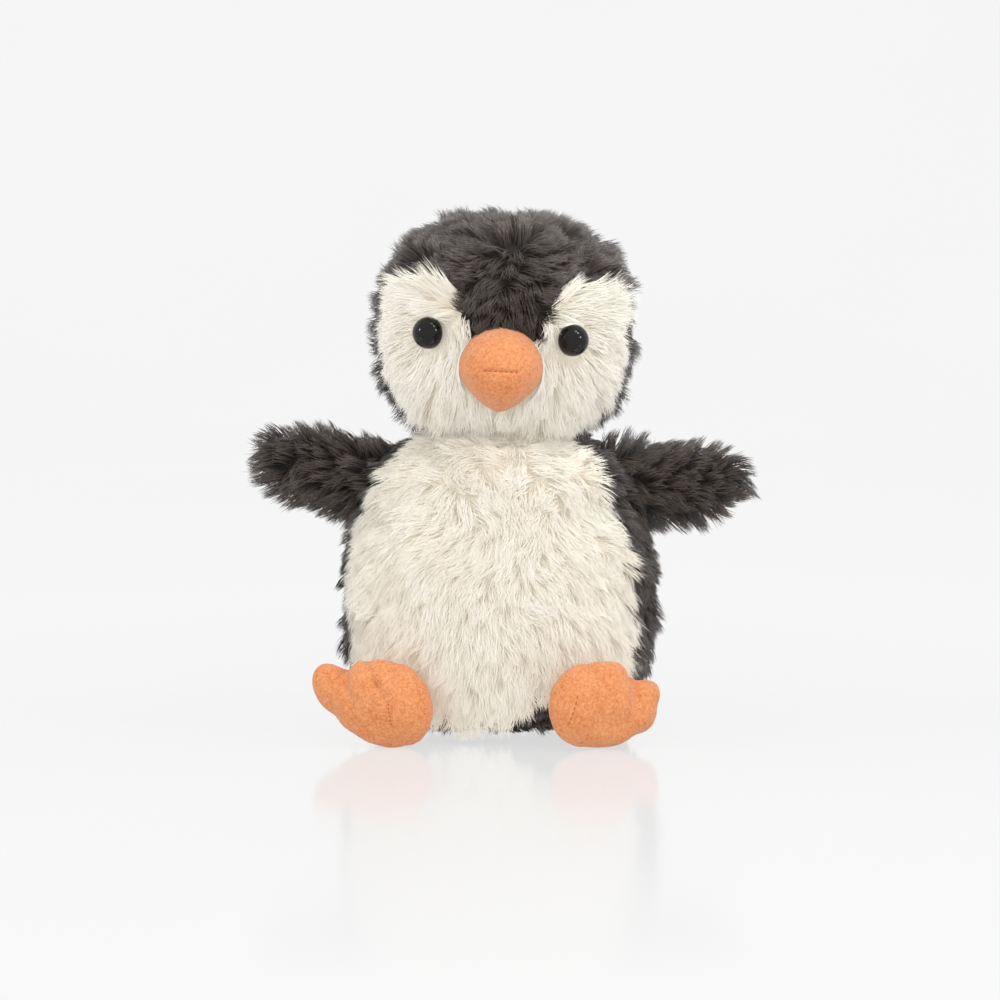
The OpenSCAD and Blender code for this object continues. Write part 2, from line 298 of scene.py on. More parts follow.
class Material:
    """A node material with one Principled shader."""

    def __init__(self, name, **sockets):
        self.material = bpy.data.materials.new(name)
        self.material.use_nodes = True
        self.nodes = self.material.node_tree.nodes
        self.shader = self.nodes["Principled BSDF"]
        for socket, value in sockets.items():
            self.shader.inputs[socket.replace("_", " ")].default_value = value

    def node(self, kind, inputs=None, **settings):
        made = self.nodes.new("ShaderNode" + kind)
        for key, value in settings.items():
            setattr(made, key, value)
        for key, value in (inputs or {}).items():
            if isinstance(value, bpy.types.NodeSocket):
                self.link(value, made.inputs[key])
            else:
                made.inputs[key].default_value = value
        return made

    def link(self, output, socket):
        self.material.node_tree.links.new(output, socket)

    def ramp(self, value, *stops):
        made = self.node("ValToRGB", {"Fac": value})
        elements = made.color_ramp.elements
        while len(elements) < len(stops):
            elements.new(0.5)
        for element, (place, colour) in zip(elements, stops):
            element.position = place
            element.color = colour
        return made.outputs["Color"]

    def span(self, value, low, high, to_low=0.0, to_high=1.0):
        inputs = {"Value": value, "From Min": low, "From Max": high, "To Min": to_low, "To Max": to_high}
        return self.node("MapRange", inputs).outputs["Result"]

    def noise(self, size, detail=2.0, roughness=0.5):
        """Noise of about that size in metres over the object."""
        place = self.node("TexCoord").outputs["Object"]
        inputs = {"Vector": place, "Scale": 1 / size, "Detail": detail, "Roughness": roughness}
        return self.node("TexNoise", inputs).outputs["Fac"]

    def scaled(self, colour, factor):
        """A colour made lighter or darker by a factor."""
        made = self.node("VectorMath", operation="SCALE")
        self.link(colour, made.inputs[0])
        self.link(factor, made.inputs["Scale"])
        return made.outputs["Vector"]

    def mix(self, factor, first, second):
        made = self.node("Mix", data_type="RGBA")
        for index, value in ((0, factor), (6, first), (7, second)):
            if isinstance(value, bpy.types.NodeSocket):
                self.link(value, made.inputs[index])
            else:
                made.inputs[index].default_value = value
        return made.outputs[2]

    def bump(self, height, distance, strength=1.0):
        made = self.node("Bump", {"Height": height, "Distance": distance, "Strength": strength})
        self.link(made.outputs["Normal"], self.shader.inputs["Normal"])

    def colour(self, output):
        self.link(output, self.shader.inputs["Base Color"])

    def painted_glow(self, colour):
        """Painted glow of a pale coat, an emission standing in for light that lifts its shade, or none
        without a colour.
        """
        if colour:
            self.shader.inputs["Emission Color"].default_value = colour
            self.shader.inputs["Emission Strength"].default_value = PAINTED_GLOW_STRENGTH


def pile(name, root, body, tip, warm_root_shade, warm_tip, spread, sheen=0.35, painted_glow=None):
    """Long fibres: dark at the root, which is painted shade deep in the pile, light at the tip, each tuft
    with its own tone.
    """
    made = Material(
        name, Roughness=0.62, Sheen_Weight=sheen, Sheen_Roughness=0.45, IOR=1.4, Specular_IOR_Level=0.2
    )
    # Painted glow on the pale piles, lifting their shade
    made.painted_glow(painted_glow)
    along = made.node("SeparateXYZ", {"Vector": made.node("UVMap", uv_map="OFBake").outputs["UV"]})
    tone, share = along.outputs["X"], along.outputs["Y"]
    # Darker, warmer colours towards the root are painted shade deep in the pile
    cool = made.ramp(share, (0, root), (0.45, body), (1, tip))
    warm = made.ramp(share, (0, warm_root_shade), (1, warm_tip))
    mixed = made.mix(made.span(tone, 0.0, 1.0, 0.75, 0.0), cool, warm)
    made.colour(made.scaled(mixed, made.span(tone, 0.0, 1.0, 1 - spread, 1 + spread)))
    return made.material


def backing(name, colour, dark, painted_glow=None):
    """Woven backing and the roots of the pile, seen only between tufts, in colours darker than the pile as
    painted shade between the tufts.
    """
    made = Material(name, Roughness=0.9)
    # Painted glow on the cream backing, lifting its shade
    made.painted_glow(painted_glow)
    weave = made.noise(0.6 * MM, 3)
    made.colour(made.ramp(weave, (0.35, dark), (0.65, colour)))
    made.bump(weave, 0.3 * MM)
    return made.material


def suede(name):
    """Short brushed nap with a mottled tone, fine pits and darker brushed patches."""
    made = Material(name, Roughness=0.88, Sheen_Weight=0.28, Sheen_Roughness=0.35, Specular_IOR_Level=0.15)
    grain = made.noise(0.5 * MM, 2, 0.6)
    curls = made.noise(1.2 * MM, 2, 0.6)
    patches = made.noise(8 * MM, 3, 0.6)
    both = made.node("Math", {0: grain, 1: curls}, operation="ADD").outputs["Value"]
    fine = made.span(both, 0.65, 1.35)
    light_tones = (rgb(212, 128, 78), rgb(226, 150, 99), rgb(236, 170, 121))
    deep_tones = (rgb(202, 113, 63), rgb(221, 140, 88), rgb(233, 160, 110))
    light, deep = (made.ramp(fine, *zip((0.1, 0.5, 0.9), tones)) for tones in (light_tones, deep_tones))
    made.colour(made.mix(made.span(patches, 0.35, 0.7), light, deep))
    made.bump(fine, 0.4 * MM, 0.9)
    return made.material


def gloss_black(name):
    """Moulded eye, polished black with the faintest smears."""
    made = Material(name, IOR=1.37)
    smears = made.noise(3 * MM, 2)
    made.colour(made.ramp(smears, (0.3, rgb(9, 8, 8)), (0.8, rgb(22, 18, 16))))
    made.link(made.span(smears, 0.3, 0.8, 0.03, 0.08), made.shader.inputs["Roughness"])
    return made.material


def cloth(name, colour, dark, thread):
    """Plain woven cloth with threads of that width."""
    made = Material(name, Roughness=0.8, Sheen_Weight=0.2)
    place = made.node("TexCoord").outputs["Object"]
    inputs = {"Vector": place, "Scale": 1 / (2 * math.pi * thread), "Distortion": 0.4}
    weft = made.node("TexWave", inputs, bands_direction="Z").outputs["Fac"]
    warp = made.node("TexWave", inputs, bands_direction="X").outputs["Fac"]
    weave = made.node("Math", {0: weft, 1: warp}, operation="MULTIPLY").outputs["Value"]
    made.colour(made.ramp(weave, (0.1, dark), (0.6, colour)))
    made.bump(weave, 0.15 * MM, 0.6)
    return made.material


def moulded(name, colour, dark):
    """Moulded plastic with a faint orange-peel surface."""
    made = Material(name, Roughness=0.4)
    peel = made.noise(1.2 * MM, 2)
    made.colour(made.ramp(peel, (0.3, dark), (0.7, colour)))
    made.bump(peel, 0.05 * MM, 0.4)
    return made.material


# Root colours of each pile are painted shade deep in the coat
charcoal_fur = pile(
    "charcoal_fur", rgb(34, 30, 28), rgb(62, 56, 53), rgb(111, 102, 96),
    rgb(28, 23, 19), rgb(105, 92, 83), 0.3,
)
# The cream and face piles carry a painted glow that lifts their shade
cream_fur = pile(
    "cream_fur", rgb(230, 217, 192), rgb(234, 229, 217), rgb(237, 234, 226),
    rgb(224, 206, 174), rgb(235, 229, 215), 0.02, sheen=0.05, painted_glow=rgb(255, 247, 230),
)
face_fur = pile(
    "face_fur", rgb(222, 212, 192), rgb(228, 224, 214), rgb(232, 230, 223),
    rgb(216, 200, 174), rgb(229, 225, 213), 0.02, sheen=0.05, painted_glow=rgb(246, 240, 226),
)
# Backing colours darker than their pile: painted shade between the tufts
charcoal_backing = backing("charcoal_backing", rgb(44, 39, 37), rgb(24, 21, 20))
# Cream backing: painted glow lifting its shade
cream_backing = backing("cream_backing", rgb(228, 221, 206), rgb(208, 199, 182), rgb(246, 238, 222))
orange_suede = suede("orange_suede")
stitching = cloth("orange_thread", rgb(214, 112, 56), rgb(176, 80, 34), 0.3 * MM)
eye_gloss = gloss_black("eye_gloss")
ribbon = cloth("label_ribbon", rgb(250, 249, 246), rgb(226, 224, 220), 0.25 * MM)
pouch_cloth = cloth("pouch_cloth", rgb(238, 236, 230), rgb(204, 200, 192), 0.5 * MM)
white_plastic = moulded("washer_plastic", rgb(240, 240, 238), rgb(226, 226, 222))
pellet_plastic = moulded("pellets", rgb(236, 230, 214), rgb(214, 206, 186))


def finish_cad(node, material):
    """Gives a CAD node that stays its own material."""
    mesh = frame["nodes"][node].data
    mesh.materials.clear()
    mesh.materials.append(material)


def register(piece, slot_name, body, *nodes):
    """Hides the CAD nodes that the piece replaces and puts the piece under its body; given the two bodies
    it would bend between, it only fixes the piece where it stands, and nothing makes it bend. slot_name is
    not used.
    """
    if nodes:
        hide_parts(*nodes)
    if isinstance(body, str):
        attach(piece, body)
    else:
        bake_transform(piece)


# ---- Fur ----

# Rings of one fibre: share of its length, and share of its width
RINGS = ((0.0, 1.0), (0.36, 0.95), (0.7, 0.7))
FIBRES_PER_PIECE = 12000
# Roots tried for each square of the tufts' spacing
ROOTS_TRIED = 5
# How far single fibres differ from their tuft, in radians, and how much they bend and sag
FIBRE_TURN, FIBRE_LIFT, FIBRE_LAY = 0.16, 0.1, 0.12
FIBRE_BEND, FIBRE_SAG = 0.13, 0.05
# Furthest root from the middle of its tuft, in spreads
WIDEST_ROOT = 1.9


class Tufts:
    """Tufts of pile: where each one is rooted, which way it lies, how long it is and how it stands."""

    FIELDS = ("root", "normal", "flow", "length", "lift", "lay", "tone", "draw")

    def __init__(self, root, normal):
        count = len(root)
        self.root, self.normal = root, normal
        self.flow = np.zeros((count, 3))
        self.length = np.full(count, 10 * MM)
        self.lift = np.full(count, math.radians(60))
        self.lay = np.full(count, math.radians(18))
        self.tone = np.full(count, 0.5)
        self.draw = np.zeros((count, 3))

    def only(self, chosen):
        made = Tufts(self.root[chosen], self.normal[chosen])
        for field in self.FIELDS:
            setattr(made, field, getattr(self, field)[chosen])
        return made

    def ruffle(self, turn, size):
        """Turns each tuft's lie by smooth waves of that size and a little at random."""
        count = len(self.root)
        self.flow = unit(self.flow - self.normal * (self.flow * self.normal).sum(axis=1, keepdims=True))
        angle = turn * (waves(self.root, size) + 0.5 * rng.normal(size=count))
        self.flow = tilted(self.flow, np.cross(self.normal, self.flow), angle)
        self.length *= rng.uniform(0.82, 1.12, count)
        tone = 0.5 + 0.22 * waves(self.root, 2.2 * size) + 0.18 * rng.normal(size=count)
        self.tone = np.clip(tone, 0, 1)

    def gather(self, spacing, strength, stand):
        """Draws tufts together into locks about that far apart, each lock standing its own way."""
        leaders = apart(self.root, spacing)
        tree = KDTree(len(leaders))
        for number, index in enumerate(leaders):
            tree.insert(self.root[index], number)
        tree.balance()
        lock = np.array([tree.find(p)[1] for p in self.root])
        leader = np.array(leaders)[lock]
        self.flow = unit(0.4 * self.flow + 0.6 * self.flow[leader])
        self.tone = 0.4 * self.tone + 0.6 * self.tone[leader]
        turn = rng.normal(size=len(leaders)) * stand
        self.lift = self.lift + turn[lock]
        self.lay = self.lay + turn[lock]
        self.length = self.length * (1 + 0.5 * turn[lock])
        tips, _ = curve(self.root, self.normal, self.flow, self.length, self.lift, self.lay, 1, 0)
        self.draw = (tips[leader] - tips) * strength


def apart(points, spacing):
    """Indices of points at least spacing apart, the first ones first."""
    cells, kept = {}, []
    keys = np.floor(points / spacing).astype(int)
    near = [(i, j, k) for i in (-1, 0, 1) for j in (-1, 0, 1) for k in (-1, 0, 1)]
    for index, (x, y, z) in enumerate(keys.tolist()):
        here = points[index]
        close = (q for i, j, k in near for q in cells.get((x + i, y + j, z + k), ()))
        p, q, r = here
        if all((p - a) ** 2 + (q - b) ** 2 + (r - c) ** 2 > spacing**2 for a, b, c in close):
            cells.setdefault((x, y, z), []).append(here)
            kept.append(index)
    return kept


def scatter(skin, spacing):
    """Tufts spread evenly over a skin, at least spacing apart."""
    mesh = skin.data
    mesh.calc_loop_triangles()
    corners = np.zeros(len(mesh.loop_triangles) * 3, int)
    mesh.loop_triangles.foreach_get("vertices", corners)
    corners = corners.reshape(-1, 3)
    points, directions = coordinates(mesh), normals(mesh)
    a, b, c = (points[corners[:, k]] for k in range(3))
    area = np.linalg.norm(np.cross(b - a, c - a), axis=1) / 2
    count = int(ROOTS_TRIED * area.sum() / spacing**2)
    chosen = rng.choice(len(area), count, p=area / area.sum())
    u, v = rng.uniform(size=(2, count, 1))
    swap = u + v > 1
    u, v = np.where(swap, 1 - u, u), np.where(swap, 1 - v, v)
    weights = (1 - u - v, u, v)
    place = sum(w * points[corners[chosen, k]] for k, w in enumerate(weights))
    normal = unit(sum(w * directions[corners[chosen, k]] for k, w in enumerate(weights)))
    kept = apart(place, spacing)
    return Tufts(place[kept], normal[kept])


def curve(root, normal, flow, length, lift, lay, share, sag):
    """Point at that share of a fibre's length, and its heading there, as it bends from lift to lay."""
    steps = np.linspace(0, share, 5)
    point = root - 0.5 * MM * normal
    for t0, t1 in zip(steps, steps[1:]):
        heading = tilted(flow, normal, lift + (lay - lift) * (t0 + t1) / 2)
        point = point + heading * (length * (t1 - t0))[:, None]
    point = point - np.array((0, 0, 1)) * (sag * length * share**2)[:, None]
    return point, tilted(flow, normal, lift + (lay - lift) * share)


def fibre_points(tufts, look, avoid):
    """Points, shading normals and UVs of the fibres, each tuft's drawn together at the tip."""
    each, width, spread, clump, smooth = look
    own = tufts.only(np.repeat(np.arange(len(tufts.root)), each))
    count = len(own.root)
    across = np.cross(own.normal, own.flow)
    shift = rng.normal(size=(count, 2)) * spread
    off = np.linalg.norm(shift, axis=1, keepdims=True)
    shift *= np.minimum(1, WIDEST_ROOT * spread / np.maximum(off, 1e-9))
    root = own.root + own.flow * shift[:, :1] + across * shift[:, 1:]
    flow = unit(tilted(own.flow, across, rng.normal(size=count) * FIBRE_TURN))
    length = own.length * rng.uniform(0.78, 1.14, count)
    lift = own.lift + rng.normal(size=count) * FIBRE_LIFT
    lay = own.lay + rng.normal(size=count) * FIBRE_LAY
    bend = rng.normal(size=count) * FIBRE_BEND
    pull = clump * rng.uniform(0.7, 1.0, count)
    thickness = width * rng.uniform(0.75, 1.2, count)
    tone = np.clip(own.tone + 0.1 * rng.normal(size=count), 0, 0.985)
    verts = np.zeros((count, 3 * len(RINGS) + 1, 3))
    facing = np.zeros_like(verts)
    uv = np.zeros((count, 3 * len(RINGS) + 1, 2))
    for ring, (share, girth) in enumerate(RINGS + ((1.0, 0.0),)):
        point, heading = curve(root, own.normal, flow, length, lift, lay, share, FIBRE_SAG)
        centre, _ = curve(own.root, own.normal, own.flow, own.length, own.lift, own.lay, share, FIBRE_SAG)
        point = point + (centre - point) * (pull * share**1.4)[:, None] + own.draw * share**1.6
        point = avoid(point + across * (bend * length * share**2)[:, None])
        side = unit(np.cross(heading, across))
        for k in range(3 if girth else 1):
            angle = math.radians(120 * k - 90)
            offset = across * math.cos(angle) + side * math.sin(angle)
            verts[:, 3 * ring + k] = point + offset * (thickness * girth / 2)[:, None]
            facing[:, 3 * ring + k] = unit(offset * (1 - smooth) + own.normal * smooth)
            uv[:, 3 * ring + k, 0] = tone + 0.005 * k
            uv[:, 3 * ring + k, 1] = share
    ground = 0.05 * MM + 0.3 * MM * rng.uniform(size=(count, 1))
    verts[:, :, 2] = np.maximum(verts[:, :, 2], ground)
    return verts, facing, uv


def fibre_faces():
    """Faces of one fibre: its closed root, the bands between its rings, and its point."""
    faces = [(0, 2, 1)]
    last = 3 * len(RINGS) - 3
    for low in range(0, last, 3):
        faces += [(low + k, low + (k + 1) % 3, low + 3 + (k + 1) % 3, low + 3 + k) for k in range(3)]
    return faces + [(last + k, last + (k + 1) % 3, last + 3) for k in range(3)]


def fibres(name, tufts, look, avoid, material, body, slot_name, nodes):
    """One piece of pile, made of closed, three-sided, pointed fibres."""
    verts, facing, uv = fibre_points(tufts, look, avoid)
    count, step = verts.shape[:2]
    faces = fibre_faces()
    corners = np.concatenate([np.array(f) for f in faces])
    sizes = np.array([len(f) for f in faces])
    loops = (corners[None, :] + step * np.arange(count)[:, None]).ravel()
    starts = (np.cumsum(sizes) - sizes)[None, :] + len(corners) * np.arange(count)[:, None]
    mesh = bpy.data.meshes.new(name)
    mesh.vertices.add(count * step)
    mesh.vertices.foreach_set("co", verts.ravel())
    mesh.loops.add(len(loops))
    mesh.loops.foreach_set("vertex_index", loops)
    mesh.polygons.add(count * len(faces))
    mesh.polygons.foreach_set("loop_start", starts.ravel())
    layer = mesh.uv_layers.new(name="OFBake")
    layer.data.foreach_set("uv", uv.reshape(-1, 2)[loops].ravel())
    mesh.update(calc_edges=True)
    mesh.shade_smooth()
    mesh.normals_split_custom_set_from_vertices(facing.reshape(-1, 3))
    mesh.materials.append(material)
    piece = add_piece(name, mesh)
    register(piece, slot_name, body, *nodes)


def free(points):
    """Nothing for the fibres to keep clear of."""
    return points


# Fibres in a tuft, their width, their spread at the root, how far a tuft closes at its tip, and how
# far a fibre is shaded as part of the smooth coat
CREAM_LOOK = (24, 0.27 * MM, 1.25 * MM, 0.38, 0.86)
FACE_LOOK = (18, 0.32 * MM, 1.0 * MM, 0.72, 0.8)
CHARCOAL_LOOK = (16, 0.35 * MM, 1.1 * MM, 0.66, 0.45)
# Distance between locks, how far their tufts draw together, and how unevenly they stand
CREAM_LOCKS = (4.2 * MM, 0.14, 0.06)
FACE_LOCKS = (3.4 * MM, 0.4, 0.1)
CHARCOAL_LOCKS = (3.8 * MM, 0.45, 0.16)


LOOKS = {
    "charcoal_fur": (CHARCOAL_LOOK, CHARCOAL_LOCKS),
    "cream_fur": (CREAM_LOOK, CREAM_LOCKS),
    "face_fur": (FACE_LOOK, FACE_LOCKS),
}


def grow(name, tufts, material, body, slot_name, nodes, avoid=free):
    """Pile on one panel, in as many pieces as its fibres need."""
    look, locks = LOOKS[material.name]
    tufts.gather(*locks)
    parts = math.ceil(len(tufts.root) * look[0] / FIBRES_PER_PIECE)
    order = np.argsort(tufts.root[:, 2])
    for number, chosen in enumerate(np.array_split(order, parts), 1):
        part = name if parts == 1 else f"{name}_{number}"
        fibres(part, tufts.only(np.sort(chosen)), look, avoid, material, body, slot_name, nodes)


def tree_of(piece):
    mesh = piece.data
    corners = [tuple(p.vertices) for p in mesh.polygons]
    return BVHTree.FromPolygons([v.co for v in mesh.vertices], corners)


def distances(piece, points):
    """Distance of each point from the surface of the piece."""
    tree = tree_of(piece)
    return np.array([tree.find_nearest(Vector(p))[3] for p in points])


def by_panel(tufts, *nodes):
    """For each tuft, the number of the CAD panel nearest to its root."""
    return np.argmin([distances(frame["nodes"][node], tufts.root) for node in nodes], axis=0)


def outside(points, tree):
    """True for each point that isn't inside the closed skin of the tree."""
    result = []
    for point in map(Vector, points):
        place, normal, _, _ = tree.find_nearest(point)
        result.append((point - place).dot(normal) > 0)
    return np.array(result)


def skin_faces(piece):
    """The faces of a skin as tufts, to sort them by panel."""
    polygons = piece.data.polygons
    return Tufts(np.array([p.center for p in polygons]), np.array([p.normal for p in polygons]))


def colour_skin(piece, cream):
    """Paints a skin's faces with pale backing where cream is true, and with dark backing elsewhere."""
    mesh = piece.data
    mesh.materials.clear()
    mesh.materials.append(charcoal_backing)
    mesh.materials.append(cream_backing)
    mesh.polygons.foreach_set("material_index", cream.astype(int))


# ---- Body ----

BODY_PANELS = ("belly_panel", "back_panel_left", "back_panel_right", "base_panel")
BELLY, BASE = 0, 3
TUFT_SPACING = 2.3 * MM
# Radius of the neck, and its rise above the top of the body's stuffing, in millimetres
NECK_SLOPE = ((36, 5.5), (30, 9.5), (20, 12))


def body_skin():
    """Stuffed body, closed over by a sloping neck under the head."""
    neck = middle("neck_stuffing")
    slope = [
        (neck[0] + radius * MM * math.cos(a), neck[1] + radius * MM * math.sin(a), body_top + rise * MM)
        for radius, rise in NECK_SLOPE
        for a in np.linspace(0, 2 * math.pi, 32, endpoint=False)
    ]
    piece = hull("body_skin", np.concatenate([node_points("body_stuffing"), slope]))
    remesh(piece, 4 * MM, 3)
    swell(piece, 1.2 * MM)
    return piece


def body_flow(points):
    """Sideways near the top of the front, wandering in the middle, and down towards the bottom."""
    high = np.clip(points[:, 2] / body_top, 0, 1)
    front = fade(-points[:, 1], -15 * MM, 20 * MM)
    side = np.clip(points[:, 0] / (34 * MM), -1, 1) + 0.7 * front * high * waves(points, 34 * MM)
    across = side * (0.3 + (0.1 + 0.8 * high**1.5) * front)
    down = 1.1 - 0.7 * high**2 * front
    return unit(np.stack([across, -0.1 * front, -down], axis=1))


def shift_belly(tufts):
    """The tufts with their roots moved, so that the belly's pile grows to one side and narrows upwards."""
    moved = tufts.only(slice(None))
    upper = fade(tufts.root[:, 2], 0.6 * body_top, body_top)
    front = fade(-tufts.root[:, 1], -10 * MM, 10 * MM)
    x = tufts.root[:, 0]
    moved.root = tufts.root.copy()
    moved.root[:, 0] += ((x + 9 * MM) * (0.9 + 0.335 * upper) - x) * front
    return moved


def body_panels(tufts):
    """The body panel of each tuft, and its height above the lower edge of the cream."""
    panel = by_panel(shift_belly(tufts), *BODY_PANELS)
    # The cream ends above the floor in a curve that rises towards the sides
    rise = 0.025 / MM * (tufts.root[:, 0] + 7 * MM) ** 2
    above = tufts.root[:, 2] - (4.5 * MM + np.minimum(rise, 14 * MM))
    panel[(panel == BELLY) & (above < 0)] = BASE
    return panel, above


def body_fur(body):
    """Pile on the body: shorter on the neck and behind, and lying flat and outwards underneath."""
    tufts = scatter(body, TUFT_SPACING)
    tufts.flow = body_flow(tufts.root)
    under = fade(-tufts.normal[:, 2], 0.75, 0.95)
    outwards = unit(tufts.root * np.array((1, 1, 0)) + 1e-9)
    tufts.flow = unit(tufts.flow * (1 - under)[:, None] + outwards * under[:, None])
    neck_share = fade(tufts.root[:, 2], body_top - 2 * MM, body_top + 6 * MM)
    rear = fade(tufts.root[:, 1], -20 * MM, 5 * MM)
    tufts.length = (10.5 - 1.5 * rear - 3 * neck_share - 5 * under) * MM
    tufts.length = np.minimum(tufts.length, tufts.root[:, 2] + 3.5 * MM)
    tufts.lift = np.radians(60 - 8 * rear - 36 * under)
    tufts.lay = np.radians(16 - 16 * under)
    panel, above = body_panels(tufts)
    tufts.length = np.where(panel == BELLY, np.minimum(tufts.length, above + 5 * MM), tufts.length)
    low = (panel == BASE) & (under < 1)
    tufts.length[low] *= 0.65
    tufts.lift[low] = np.radians(30)
    tufts.ruffle(0.55, 10 * MM)
    grow("belly_fur", tufts.only(panel == BELLY), cream_fur, "body", "cream_pile", ["belly_panel"])
    for name, number in (("back_fur_left", 1), ("back_fur_right", 2), ("base_fur", BASE)):
        panels = [BODY_PANELS[number]]
        grow(name, tufts.only(panel == number), charcoal_fur, "body", "charcoal_pile", panels)


body = body_skin()
colour_skin(body, body_panels(skin_faces(body))[0] == BELLY)
register(body, "stuffing", "body", "body_stuffing")
body_fur(body)

# ---- Head ----

# Each panel of the head, with its pile's name, material and slot
HEAD_PANELS = (
    ("crown_gusset", "crown_fur", charcoal_fur, "charcoal_pile"),
    ("cheek_panel_left", "cheek_fur_left", face_fur, "cream_pile"),
    ("cheek_panel_right", "cheek_fur_right", face_fur, "cream_pile"),
    ("head_back_left", "head_back_fur_left", charcoal_fur, "charcoal_pile"),
    ("head_back_right", "head_back_fur_right", charcoal_fur, "charcoal_pile"),
)
CROWN, BACK_LEFT, BACK_RIGHT = 0, 3, 4
CHEEKS = {"left": 1, "right": 2}
# The brow that ends the cream on each cheek: its top, how far it falls within its half width, and
# the distance of its top from the middle of the face
BROW_TOP, BROW_FALL, BROW_HALF, BROW_PLACE = 15.5 * MM, 9 * MM, 20 * MM, 28 * MM
# Pile above the brow belongs to the crown up to this distance from the middle, and then to the back
CROWN_HALF = 36 * MM
# Share of the body's spacing between the head's tufts
HEAD_SPACING = 0.88

# Places in the head's own axes. The pile parts at a whorl above the forehead and at a point beside
# the beak on each cheek, and it lies low around a point between eye and beak
whorl = np.array((1.5, -34, 24)) * MM
cheek_parting = np.array((14, -42, 3)) * MM
eye_beak_gap = np.array((18, -42, -1)) * MM
beak_place = to_head(beak_centre)
eye_places = {side: to_head(middle(f"eye_{side}")) for side in SIDES}
eye_r = half_size("eye_left")[2]
beak_r = beak_half[2]


def pale(panel):
    return np.isin(panel, list(CHEEKS.values()))


def head_panels(tufts):
    """The head panel of each tuft. The cream ends in a brow below the top of the cheek panels."""
    panel = by_panel(tufts, *(row[0] for row in HEAD_PANELS))
    local = to_head(tufts.root)
    across = np.abs(local[:, 0])
    brow = BROW_TOP - BROW_FALL * ((across - BROW_PLACE) / BROW_HALF) ** 2
    over = pale(panel) & (local[:, 2] > brow)
    panel[over & (across < CROWN_HALF)] = CROWN
    panel[over & (across >= CROWN_HALF) & (local[:, 0] > 0)] = BACK_LEFT
    panel[over & (across >= CROWN_HALF) & (local[:, 0] < 0)] = BACK_RIGHT
    return panel


def eye_axis(side):
    """Level direction from the middle of the head to an eye, in the head's axes."""
    axis = eye_places[side] * np.array((1, 1, 0))
    return axis / np.linalg.norm(axis)


def round_eye(points, side):
    """Distance of head points from an eye's axis, and the direction away from it."""
    axis = eye_axis(side)
    offset = points - eye_places[side]
    offset = offset - (offset @ axis)[:, None] * axis
    return np.linalg.norm(offset, axis=1), unit(offset)


def keep_off_face(points):
    """Moves fibre points out of the beak and off the eyes."""
    local = to_head(points)
    ahead = beak_place[1] + beak_half[1] - local[:, 1]
    reach = np.clip(ahead / (2 * beak_half[1]), 0, 1)
    radius = beak_r * (1 - reach**2.2) ** (1 / 2.2) + 0.2 * MM
    off = local[:, (0, 2)] - beak_place[[0, 2]]
    distance = np.linalg.norm(off, axis=1)
    inside = (distance < radius) & (ahead > 0) & (local[:, 1] < 0)
    scale = np.where(inside, radius / np.maximum(distance, 1e-9), 1)
    local[:, 0] = beak_place[0] + off[:, 0] * scale
    local[:, 2] = beak_place[2] + off[:, 1] * scale
    for side in SIDES:
        distance, away = round_eye(local, side)
        front = np.sign(local[:, 0]) == SIDES[side]
        need = np.where(front & (local[:, 1] < 0), np.maximum(0, eye_r + 0.6 * MM - distance), 0)
        local = local + away * need[:, None] * 0.93
    return from_head(local)


def lay_pile(tufts, local, panel):
    """The dark pile falls away from the whorl, and each cheek's away from the point beside the beak."""
    tufts.flow = local - whorl + np.array((0, 0, -4 * MM))
    tufts.length = np.full(len(local), 10 * MM)
    tufts.lift, tufts.lay = np.full(len(local), 60.0), np.full(len(local), 24.0)
    for side, sign in SIDES.items():
        cheek = panel == CHEEKS[side]
        parting = cheek_parting * np.array((sign, 1, 1))
        tufts.flow[cheek] = (local - parting + np.array((0, 0, -5 * MM)))[cheek]
        tufts.length[cheek], tufts.lift[cheek], tufts.lay[cheek] = 13.5 * MM, 46, 8
    tufts.flow = unit(tufts.flow)


def shape_cheeks(tufts, local, cheeks):
    """Cheek pile leans up over the crown, lies low between eye and beak, and is short at the rim."""
    distance = distances(frame["nodes"]["crown_gusset"], tufts.root)
    inner = (1 - fade(distance, 0, 6 * MM)) * cheeks * fade(-local[:, 1], 20 * MM, 34 * MM)
    over = np.stack([-0.7 * np.sign(local[:, 0]), 0 * distance, 0.9 + 0 * distance], axis=1)
    tufts.flow = unit(tufts.flow + over * 0.6 * inner[:, None])
    tufts.lift += 14 * inner
    tufts.lay += 14 * inner
    for sign in SIDES.values():
        gap = np.linalg.norm(local - eye_beak_gap * np.array((sign, 1, 1)), axis=1)
        parted = (1 - fade(gap, 3 * MM, 11 * MM)) * cheeks
        tufts.lift += 8 * parted
        tufts.lay += 16 * parted
        tufts.length *= 1 - 0.25 * parted
    high = fade(local[:, 2], 4 * MM, 13 * MM) * cheeks
    tufts.length *= 1 + 0.15 * high
    tufts.lift += 6 * high
    rim = fade(local[:, 1], -28 * MM, -8 * MM) * cheeks
    tufts.length *= 1 - 0.3 * rim
    tufts.lift -= 12 * rim


def shape_dark_edges(tufts, local, panel):
    """Dark pile beside a cheek turns away from it, short and low on the crown, standing elsewhere."""
    for side, sign in SIDES.items():
        distance = distances(frame["nodes"][f"cheek_panel_{side}"], tufts.root)
        near = (1 - fade(distance, 2 * MM, 12 * MM)) * ~pale(panel) * (np.sign(local[:, 0]) == sign)
        near *= np.where((panel == CROWN) & (distance > 1 * MM), 0.5, 1.0)
        away = unit(local - cheek_parting * np.array((sign, 1, 1)))
        tufts.flow = unit(tufts.flow * (1 - near)[:, None] + away * near[:, None])
        crown = near * (panel == CROWN)
        tufts.length *= 1 - 0.4 * crown
        tufts.lift -= 20 * crown
        tufts.lift += 10 * (near - crown)
        tufts.lay += 16 * (near - crown)


